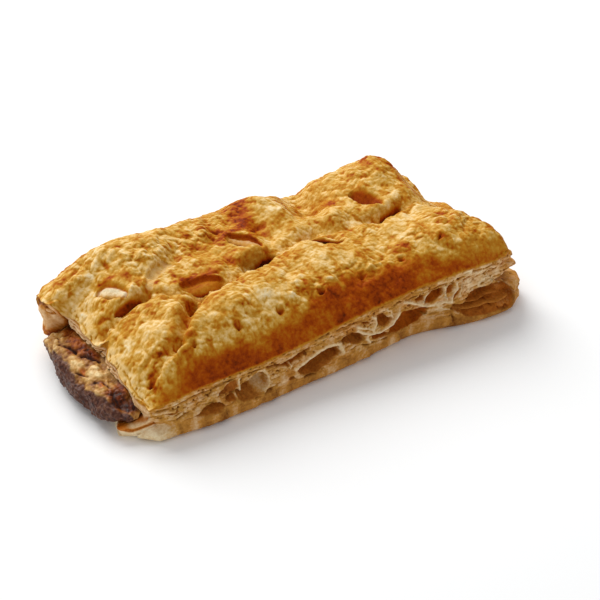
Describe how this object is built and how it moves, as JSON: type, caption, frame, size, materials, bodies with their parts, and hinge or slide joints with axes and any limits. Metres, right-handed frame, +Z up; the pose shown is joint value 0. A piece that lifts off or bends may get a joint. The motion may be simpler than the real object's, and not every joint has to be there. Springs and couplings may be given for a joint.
{
  "type": "sausage roll",
  "caption": "Flat baked sausage roll: a folded sheet of puff pastry, sealed along the front and slashed on top, round a flat length of sausage meat that bulges from the left end.",
  "frame": {"origin": "middle of the base, on the surface it rests on", "axes": "+X along the roll from the end where the meat bulges out to the other cut end, +Y from the sealed front edge to the folded back edge, +Z up"},
  "size_m": [0.1656, 0.0796, 0.0359],
  "materials": {
    "pastry": "baked puff pastry, blistered golden crust with a slight sheen, orange-brown along the front slope, pale cream leaves at the cut edges",
    "sausage_meat": "baked sausage meat, greasy tan top with scraps of pastry, scorched dark brown round its outer edge"
  },
  "bodies": {
    "root": {"pastry": "pastry", "sausage_meat": "sausage_meat"}
  },
  "joints": []
}
